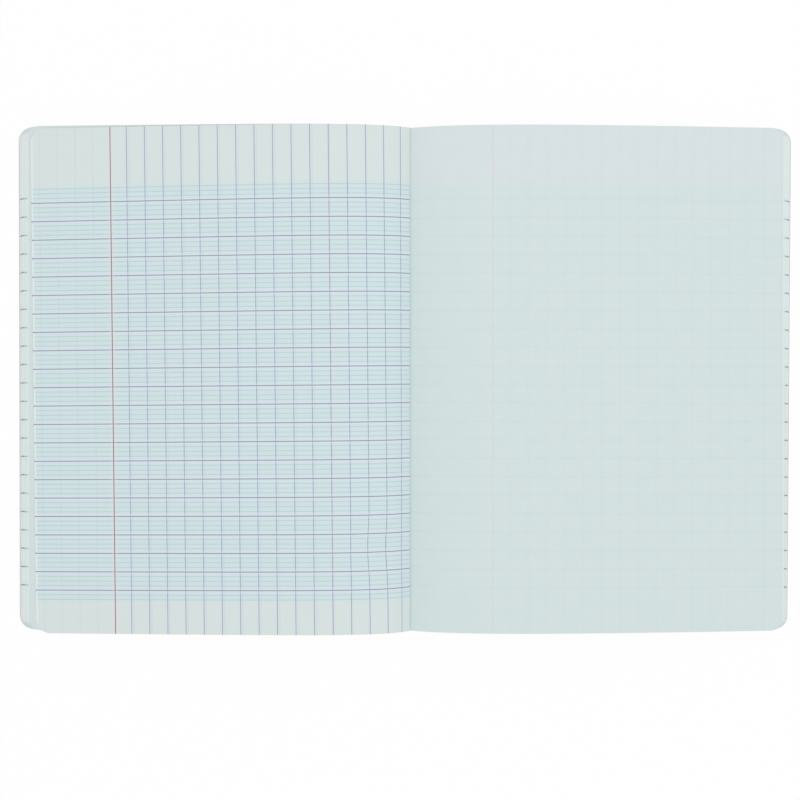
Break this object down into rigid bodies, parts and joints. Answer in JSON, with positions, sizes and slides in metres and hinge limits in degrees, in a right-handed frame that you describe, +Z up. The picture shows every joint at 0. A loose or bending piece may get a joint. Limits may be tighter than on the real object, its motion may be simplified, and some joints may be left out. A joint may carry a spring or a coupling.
{
  "type": "open exercise notebook",
  "caption": "Stapled exercise notebook lying open face up, with a finely ruled left page, a plain right page and a card cover.",
  "frame": {"origin": "on the table under the middle of the spine fold", "axes": "+X across the spread towards the plain right page, +Y along the spine towards the head of the pages, +Z up from the table"},
  "size_m": [0.3388, 0.2211, 0.015],
  "materials": {
    "cover_card": "matte",
    "drawing_paper": "matte",
    "ruled_paper": "matte",
    "staple_wire": "satin",
    "field_tint": "matte",
    "violet_ink": "matte",
    "red_ink": "matte"
  },
  "bodies": {
    "right_half": {"back_cover": "cover_card", "right_leaves": "drawing_paper", "upper_staple": "staple_wire", "lower_staple": "staple_wire"},
    "left_half": {"front_cover": "cover_card", "left_leaves": "drawing_paper", "ruled_leaf": "ruled_paper", "ruled_field": "field_tint", "upright_lines": "violet_ink", "cross_lines": "violet_ink", "margin_line": "red_ink"}
  },
  "joints": [
    {"name": "cover_fold", "type": "hinge", "parent": "right_half", "child": "left_half", "pos_m": [0, 0, 0.01], "axis": [0, 1, 0], "range_deg": [0, 164]}
  ]
}
